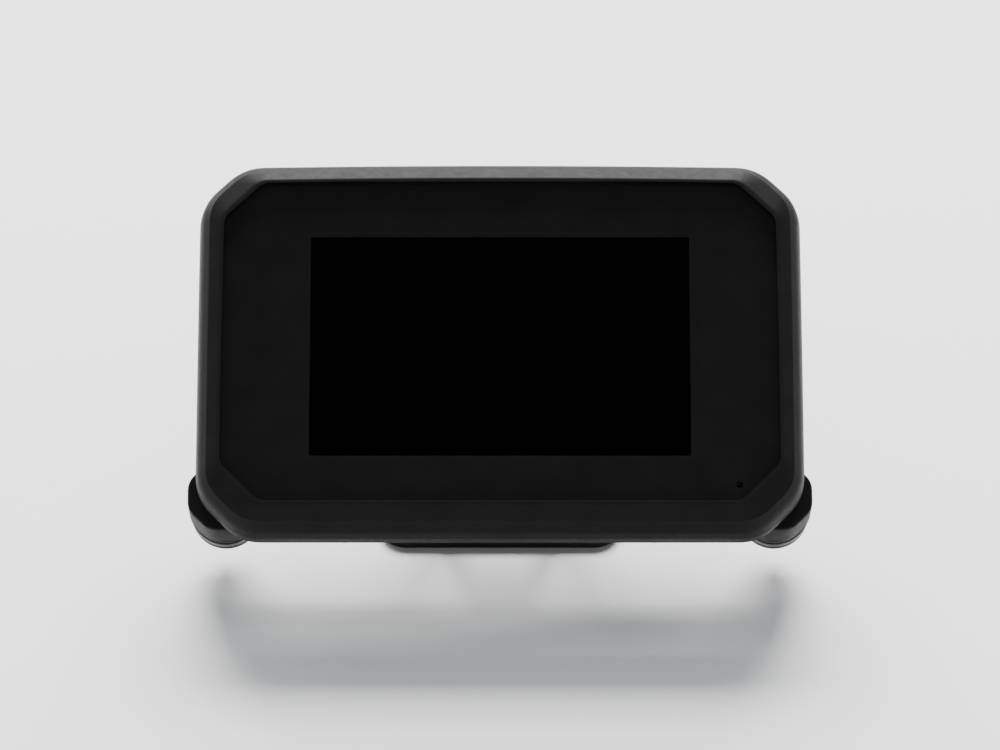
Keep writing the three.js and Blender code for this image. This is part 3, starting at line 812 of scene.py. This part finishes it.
def surface_parts():
    """Small resistors and capacitors in rows beside the larger chips."""
    back = depths("main_board")[1]
    x, z = place_of("processor")
    reach = 11.2
    places = [(x + dx, z + side * reach) for side in (-1, 1) for dx in range(-8, 9, 2)]
    places += [(x + side * reach, z + dz) for side in (-1, 1) for dz in range(-7, 8, 2)]
    places += [(52 + 2.2 * i, -30 + 3 * row) for i in range(5) for row in range(3)]
    places += [(-60 + 2.4 * i, 26 + 3 * row) for i in range(6) for row in range(2)]
    places += [(34 + 2.2 * i, 36) for i in range(9)]
    parts = [block(*place, 1.0, 0.55, back + 0.02, back + 0.45, 0.06) for place in places]
    piece("surface_parts", joined(parts), CERAMIC)


def chip_packages():
    """Moulded packages, each with a dimple in one corner."""
    for node in ("processor", "flash_memory", "light_sensor", "bus_transceiver"):
        low, high, place, (width, height) = measured(node)
        dimple_at = (low.x + 0.16 * width, high.z - 0.16 * height)
        dimple = rod(dimple_at, 0.05 * width + 0.1, high.y - 0.12, high.y + 1)
        outline = rectangle(width, height, 0.25, *place, 3)
        package = shaped(prism(outline, low.y, high.y, 0.12), cuts=[dimple])
        piece(node + "_package", package, CHIP, [node])


def transceiver_leads():
    """Eight bent leads, from the package's sides down to the board."""
    low, high, (_, z_middle), _ = measured("bus_transceiver")
    board = depths("main_board")[1]
    pitch, thick, wide = 1.27, 0.08, 0.2
    corners = ((-thick, -wide), (thick, -wide), (thick, wide), (-thick, wide))
    path = ((0, low.y + 0.6), (0.35, low.y + 0.6), (0.5, board + 0.12), (1.1, board + 0.12))
    leads = []
    for side, edge in ((-1, low.x), (1, high.x)):
        for z in (z_middle + (row - 1.5) * pitch for row in range(4)):
            leads.append(loft([[Vector((edge + side * out, y + dy, z + dz)) for dy, dz in corners]
                               for out, y in path]))
    piece("transceiver_leads", joined(leads), TRAY)


def capacitors():
    """Cans with a pressed waist and a scored top, each on a base with two cut corners."""
    for node in series("capacitor"):
        low, high, (x, z), _ = measured(node)
        top, radius, foot = high.y, 5.0, low.y + 1.0
        profile = [
            (0, foot), (radius - 0.3, foot), (radius, foot + 0.3), (radius, foot + 1.0),
            (radius - 0.35, foot + 1.3), (radius, foot + 1.6), (radius, top - 0.5), (radius - 0.4, top),
            (radius - 0.8, top), (radius - 0.9, top - 0.12), (0, top - 0.12)]
        can = lathe((x, z), profile)
        score = [block(x, z, w, h, top - 0.3, top + 1) for w, h in ((6, 0.3), (0.3, 6))]
        piece(node + "_can", shaped(can, cuts=score), TRAY, [node])
        half, cut = 5.1, 3.9
        corners = ((-half, -half), (cut, -half), (half, -cut), (half, cut), (cut, half), (-half, half))
        base = prism([Vector((x + a, z + b)) for a, b in corners], low.y, foot, 0.1)
        piece(node + "_base", base, CHIP)


def indicator_leds():
    """Each lamp is a pale body with a cup facing the lens."""
    for node in series("indicator_led"):
        low, high, place, size = measured(node)
        front, cup_floor = low.y, low.y + 0.5
        cup = lathe(place, [(0, front - 0.5), (1.2, front - 0.5), (1.2, front), (0.85, cup_floor),
                            (0, cup_floor)], 32)
        body = block(*place, *size, front, high.y, 0.12)
        piece(node + "_lamp", shaped(body, cuts=[cup]), CERAMIC, [node])


def board_screws():
    for node in series("board_screw"):
        low, high, place, (width, _) = measured(node)
        head, seat = width / 2, low.y + 1.4
        profile = [
            (0, low.y + 1.0), (0.85, low.y + 0.9), (0.95, low.y + 0.1), (1.2, low.y),
            (1.7, low.y + 0.1), (head, low.y + 0.6), (head, seat), (1.2, seat), (1.2, high.y - 1),
            (0.7, high.y - 0.4), (0, high.y)]
        screw = lathe(place, profile, 36, six_lobed(1, 2))
        piece(node + "_six_lobe", screw, ZINC, [node], sharp=32)


def threaded_inserts():
    """Brass sleeves with a knurled band at each end and a plain neck between them."""
    knurled = (2, 3, 6, 7)

    def knurl(angle, i):
        return 1 - 0.015 * (1 + cos(24 * angle)) if i in knurled else 1

    for node in series("threaded_insert"):
        low, high, place, (width, _) = measured(node)
        outer, inner, length = width / 2, BOLT_BORE, high.y - low.y
        neck = outer - 0.35
        near, far = low.y + 0.38 * length, low.y + 0.62 * length
        profile = [
            (inner, low.y), (neck, low.y), (outer, low.y + 0.3), (outer, near), (neck, near + 0.3),
            (neck, far - 0.3), (outer, far), (outer, high.y - 0.3), (neck, high.y), (inner, high.y),
            (inner, low.y)]
        sleeve = lathe(place, profile, 96, knurl)
        piece(node + "_knurled", sleeve, BRASS, [node], sharp=30)


def inner_seals():
    gasket("housing_gasket", "housing_seal", grown(WINDOW, -0.4), grown(WINDOW, 1.3), flat=0.15)
    low, high, place, size = measured("connector_seal")
    centre, wall = (low.y + high.y) / 2, 1.9
    ribbed = boxy(size, place, lambda inset: 2.5 - inset / 2, [
        (0, low.y + 0.5), (0.25, centre), (0, high.y - 0.5), (0.5, high.y), (wall - 0.4, high.y),
        (wall, high.y - 0.5), (wall - 0.2, centre), (wall, low.y + 0.5), (wall - 0.4, low.y),
        (0.5, low.y)], closed=True)
    piece("socket_gasket", ribbed, RUBBER, ["connector_seal"])


# ---- connector and breather

def connector_header():
    """The socket's shell, with a flange inside the housing, a catch, coding keys and guide rails."""
    x, z = SOCKET_AT
    front, back = depths("connector_header")
    socket_floor = depths("connector_pins")[0] - 0.3
    width, height, wall = 34, 16, 2
    tub = boxy((width, height), SOCKET_AT, lambda inset: max(wall - inset, 0.5), [
        (0.4, front), (0, front + 0.4), (0, back - 0.7), (0.25, back - 0.2), (0.7, back),
        (wall - 0.6, back), (wall - 0.1, back - 0.5), (wall, back - 1.2), (wall, socket_floor)])
    flange = prism(rectangle(width + 5, height + 5, 3, x, z), 22.8, 25.2, 0.4)
    catch = block(x, z + height / 2 + 0.3, 6, 1.6, 32, 34, 0.4)
    keys = [block(x + dx, z - height / 2 + wall + 0.3, 1.6, 1.6, socket_floor - 0.5, back - 1.5, 0.3)
            for dx in (-10.5, -4, 8)]
    rails = [block(x + side * (width / 2 + 0.3), z, 1.4, 5, 28.5, 34.5, 0.4) for side in (-1, 1)]
    shell = shaped(tub, [flange, catch, *keys, *rails])
    piece("socket_shell", shell, SOCKET, ["connector_header"], sharp=35)


def connector_pins():
    """Two rows of square pins with tapered tips, on a comb at the socket's floor."""
    low, high, (x, z), size = measured("connector_pins")
    comb_back, pitch, half_row = low.y + 1, 3, 2.4
    sections = ((0.45, comb_back - 0.4), (0.45, high.y - 1), (0.34, high.y - 0.5), (0.16, high.y))
    corners = ((1, 1), (-1, 1), (-1, -1), (1, -1))
    pins = []
    for pz in (z - half_row, z + half_row):
        for px in (x + (column - 3.5) * pitch for column in range(8)):
            pins.append(loft([[Vector((px + sx * half, y, pz + sz * half)) for sx, sz in corners]
                              for half, y in sections]))
    comb = block(x, z, *size, low.y, comb_back, 0.2)
    piece("socket_pins", shaped(comb, pins), BRASS, ["connector_pins"])


def breather_cap():
    """A round cap with a dished middle and four air gaps under its rim."""
    low, high, place, (width, _) = measured("breather_cap")
    radius, dish = width / 2, high.y - 0.5
    section = [
        (0, low.y), (radius, low.y), (radius, low.y + 1.6), (radius - 1.4, high.y), (3.4, high.y),
        (2.9, dish), (0, dish)]
    cap = lathe(place, softened(section, (0.2, 0.5, 0.6, 0.2, 0.3)), 64)
    gaps = [block(*place, w, h, low.y - 1, low.y + 0.8) for w, h in ((20, 2), (2, 20))]
    piece("vent_cap", shaped(cap, cuts=gaps), RUBBER, ["breather_cap"], sharp=35)


# ---- fasteners and mounts

def housing_screws():
    for node in series("housing_screw"):
        low, high, place, (width, _) = measured(node)
        head, seat = width / 2, high.y - 1.8
        profile = [
            (0, low.y), (0.7, low.y + 0.5), (1.2, low.y + 1.4), (1.2, seat), (head - 0.1, seat),
            (head, seat + 0.15), (head, seat + 0.8), (head - 0.2, seat + 1.25),
            (head - 0.6, seat + 1.6), (1.5, high.y), (1.2, high.y), (1.1, high.y - 0.2),
            (1.0, high.y - 1.1), (0, high.y - 1.2)]
        screw = lathe(place, profile, 48, six_lobed(10, 12))
        piece(node + "_six_lobe", screw, ZINC, [node], sharp=32)


def mount_bolts():
    """Flange bolts, each with a chamfered and dished hexagon head."""
    shank, flange, corners, dish = 3, 6.5, 5.8, 0.35
    first_hex, last_hex = 8, 11
    for node in series("mount_bolt"):
        low, high, place, _ = measured(node)
        seat = BOLT_SEAT
        profile = [
            (0, low.y), (2.4, low.y), (shank, low.y + 0.8), (shank, seat), (flange - 0.25, seat),
            (flange, seat + 0.25), (flange, seat + 0.7), (flange - 0.3, seat + 1.05),
            (corners, seat + 1.5), (corners, high.y - 0.9), (corners - 0.35, high.y - 0.35),
            (corners - 0.95, high.y), (3.4, high.y), (3.1, high.y - dish), (0, high.y - dish)]

        def hexagon(angle, i):
            if not first_hex <= i <= last_hex:
                return 1
            off_flat = (angle + pi / 6) % (pi / 3) - pi / 6
            return min(1, corners * cos(pi / 6) / cos(off_flat) / profile[i][0])

        piece(node + "_hex", lathe(place, profile, 72, hexagon), ZINC, [node], sharp=28)


def collars():
    for name, place in MOUNTS.items():
        node = f"collar_{name}"
        low, high, _, (width, _) = measured(node)
        outer, inner = width / 2, BOLT_BORE
        start = (inner, middle((low, high)).y)
        section = [start, (inner, low.y), (outer, low.y), (outer, high.y), (inner, high.y), start]
        sleeve = lathe(place, softened(section, (0.2, 0.3, 0.3, 0.2), 3))
        piece(node + "_sleeve", sleeve, ZINC, [node])


def grommets():
    """Rubber in two halves meeting inside the stay's hole: the front one reaches the cluster, the back
    one the bolt's seat.
    """
    plate_middle, plate_half = (STAY_FRONT + STAY_BACK) / 2, THICK / 2 + 0.3
    groove, bore, gap, seam = 7.2, 4.3, 0.05, 0.02
    for name, place in MOUNTS.items():
        node = f"grommet_{name}"
        *_, (width, _) = measured(node)
        flange = width / 2
        for half, way, end in (("front", -1, HOUSING_BACK + gap), ("back", 1, BOLT_SEAT - gap)):
            lip, start = plate_middle + way * plate_half, plate_middle + way * seam
            dent = end - way * 0.4
            section = [
                (bore, start), (bore, end), (6.4, end), (6.8, dent), (7.6, dent), (8.0, end),
                (flange, end - way * 0.25), (flange, lip), (groove, lip), (groove, start)]
            profile = softened(section, (0.4, 0.3, 0.2, 0.2, 0.3, 0.9, 0.3, 0.3), 4)
            rubber = lathe(place, profile + profile[:1], 64)
            stands_for = [node] if half == "front" else ()
            ring = piece(f"{node}_{half}", rubber, RUBBER, stands_for, body=None, sharp=60)
            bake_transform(ring)


# ---- stay

CROSSBAR_LOW, CROSSBAR_HIGH = -47.0, -33.0
MAST, FILLET = 11.0, 12.0
STAY_BORE, FOOT_BORE = 7.5, 4.25
GUSSET_X, GUSSET_LOW, GUSSET_HIGH = 16.5, -34.0, 10.0
FOOT_WIDTH, FOOT_DEPTH, FOOT_CORNER, FOOT_BOLT_X = 70.0, 48.0, 8, 26.0
UPRIGHT = Matrix(((1, 0, 0, 0), (0, 0, -1, 0), (0, 1, 0, 0), (0, 0, 0, 1)))
ACROSS = Matrix.Rotation(pi / 2, 4, "Z")


def arc(centre, radius, start, end, steps=12):
    """Points on a circle between two angles in degrees."""
    angles = [radians(start + (end - start) * i / steps) for i in range(steps + 1)]
    return [Vector(centre) + Vector((cos(a), sin(a))) * radius for a in angles]


def upper_plate_outline():
    """A crossbar between the lower mounts and a mast up to the top one, with filleted corners."""
    left, right, top = (Vector(MOUNTS[name]) for name in ("left", "right", "top"))
    half = (CROSSBAR_HIGH - CROSSBAR_LOW) / 2
    meet = 180 / pi * atan2(half, sqrt(EAR_RADIUS ** 2 - half ** 2))
    points = arc(right, EAR_RADIUS, meet - 180, 180 - meet, 32)
    points += arc((MAST + FILLET, CROSSBAR_HIGH + FILLET), FILLET, -90, -180)
    points += arc(top, MAST, 0, 180, 24)
    points += arc((-MAST - FILLET, CROSSBAR_HIGH + FILLET), FILLET, 0, -90)
    points += arc(left, EAR_RADIUS, meet, 360 - meet, 32)
    return points


def steel_plate(points, holes, front, back):
    """A laser-cut plate: an outline with round holes, its edges eased."""
    cuts = [rod(place, radius, front - 1, back + 1, 48) for place, radius in holes]
    return shaped(prism(points, front, back), cuts=cuts, edge=0.45)


def moved(bm, matrix):
    bm.transform(matrix)
    bmesh.ops.recalc_face_normals(bm, faces=bm.faces)
    return bm


def gusset():
    """A gusset seen from the side, (y, z) on the foot's axes: a hollow front and a hollow back."""
    stay_middle = (STAY_FRONT + STAY_BACK) / 2
    low, high = (SCREEN_TO_FOOT @ Vector((0, stay_middle, z)) for z in (GUSSET_LOW, GUSSET_HIGH))
    front_foot, back_foot = Vector((-22, THICK / 2)), Vector((18, THICK / 2))
    points = turn(back_foot, Vector((10.5, 22)), Vector((high.y, high.z)), 12)
    points += turn(Vector((low.y, low.z)), Vector((-21, 12)), front_foot, 10)
    return points


def bead(start, end, radius=1.4, pitch=1.7):
    """A weld bead: a tube along a straight seam, swelling at each ripple."""
    start, end = Vector(start), Vector(end)
    along = (end - start).normalized()
    side = along.orthogonal().normalized()
    other = along.cross(side)
    length = (end - start).length
    angles = [2 * pi * k / 12 for k in range(12)]
    count = int(length / pitch * 4)
    rings = [[start]]
    for s in (length * i / count for i in range(1, count)):
        ease = min(1, sqrt(min(s, length - s) / radius))
        r = radius * ease * (0.94 + 0.09 * abs(sin(pi * s / pitch)))
        rings.append([start + along * s + (side * cos(a) + other * sin(a)) * r for a in angles])
    return loft(rings + [[end]])


def weld_beads():
    """Beads on both sides of each gusset, along the foot and up the back of the upper plate."""
    beads = []
    for x in (side * GUSSET_X + face * THICK / 2 for side in (-1, 1) for face in (-1, 1)):
        beads.append(bead((x, -20, THICK), (x, 15, THICK)))
        ends = (SCREEN_TO_FOOT @ Vector((x, STAY_BACK, z)) for z in (GUSSET_LOW + 3, GUSSET_HIGH - 3))
        beads.append(bead(*ends))
    return beads


def mounting_stay():
    upper_holes = [(place, STAY_BORE) for place in MOUNTS.values()]
    upper = moved(steel_plate(upper_plate_outline(), upper_holes, STAY_FRONT, STAY_BACK), SCREEN_TO_FOOT)
    foot_outline = rectangle(FOOT_WIDTH, FOOT_DEPTH, FOOT_CORNER, steps=12)
    foot_holes = [((side * FOOT_BOLT_X, 0.0), FOOT_BORE) for side in (-1, 1)]
    foot = moved(steel_plate(foot_outline, foot_holes, 0, THICK), UPRIGHT)
    window = ((-3.0, 18.0), 7.0)
    gussets = []
    for side in (-1, 1):
        web = steel_plate(gusset(), [window], -THICK / 2, THICK / 2)
        gussets.append(moved(web, Matrix.Translation((side * GUSSET_X, 0, 0)) @ ACROSS))
    stay = shaped(foot, [upper, *gussets, *weld_beads()])
    piece("welded_stay", stay, STEEL, ["mounting_stay"], STAY, FOOT, sharp=32)


# ---- stage, light and camera

VIEW_ELEVATION = radians(35.4)
VIEW_DISTANCE = 1.6


def floor():
    """A pale floor that curves up into a backdrop far behind the object."""
    half, radius, front, back, height, steps = 9.0, 1.2, -9.0, 3.4, 4.0, 24
    section = [(front, 0.0), (0.0, 0.0)]
    section += [(back - radius + radius * sin(a), radius - radius * cos(a))
                for a in (pi / 2 * k / steps for k in range(steps + 1))]
    section.append((back, height))
    bm = bmesh.new()
    rows = [[bm.verts.new((x, y, z)) for x in (-half, half)] for y, z in section]
    for a, b in zip(rows, rows[1:]):
        bm.faces.new((a[0], a[1], b[1], b[0]))
    obj = new_object("floor", bm)
    obj.data.shade_smooth()
    recipe = Recipe("pale_floor", 0.85, Specular_IOR_Level=0.2)
    obj.data.materials.append(recipe.mottled(grey(0.92), grey(0.94), 900).material)


def stand_off(obj, target, away, distance):
    """Put an object in the scene at a distance from the target, facing it."""
    turned = away.to_track_quat("Z", "Y").to_matrix().to_4x4()
    obj.matrix_world = Matrix.Translation(target + away * distance) @ turned
    scene.collection.objects.link(obj)


def soft_box(name, azimuth, elevation, distance, width, height, power, target):
    """A rectangular lamp that faces the target. Azimuth 0 is behind the object, 90 its left."""
    data = bpy.data.lights.new(name, "AREA")
    data.shape = "RECTANGLE"
    data.size, data.size_y = width, height
    data.energy = power
    a, e = radians(azimuth), radians(elevation)
    away = Vector((-sin(a) * cos(e), cos(a) * cos(e), sin(e)))
    stand_off(bpy.data.objects.new(name, data), target, away, distance)


def lights(target):
    world = bpy.data.worlds.new("studio")
    world.use_nodes = True
    background = world.node_tree.nodes["Background"]
    background.inputs["Color"].default_value = (0.93, 0.96, 1.0, 1)
    background.inputs["Strength"].default_value = 0.5
    scene.world = world
    soft_box("back_light", 0, 40, 2.1, 1.6, 1.1, 178, target)
    soft_box("left_light", 42, 8, 1.8, 0.6, 0.5, 9, target)
    soft_box("front_fill", 180, 48, 2.2, 1.6, 1.6, 6, target)


def camera(target):
    data = bpy.data.cameras.new("rider")
    data.lens = 200
    obj = bpy.data.objects.new("rider", data)
    stand_off(obj, target, Vector((0, -cos(VIEW_ELEVATION), sin(VIEW_ELEVATION))), VIEW_DISTANCE)
    scene.camera = obj


# ---- making

centre = (Vector(cad_bounds[0]) + Vector(cad_bounds[1])) / 2
camera(centre)
lights(centre)
floor()
finish_kept_nodes()
front_bezel()
cover_lens()
border_film()
rear_housing()
connector_header()
connector_pins()
breather_cap()
backlight_tray()
light_pipe()
main_board()
surface_parts()
chip_packages()
transceiver_leads()
capacitors()
indicator_leds()
board_screws()
threaded_inserts()
inner_seals()
slab("clock_crystal", TRAY, 1.0, 0.3)
slab("power_inductor", CHIP, 2.5, 0.8)
slab("thermal_pad", PAD, 0.8, 0.3)
housing_screws()
mount_bolts()
collars()
grommets()
mounting_stay()
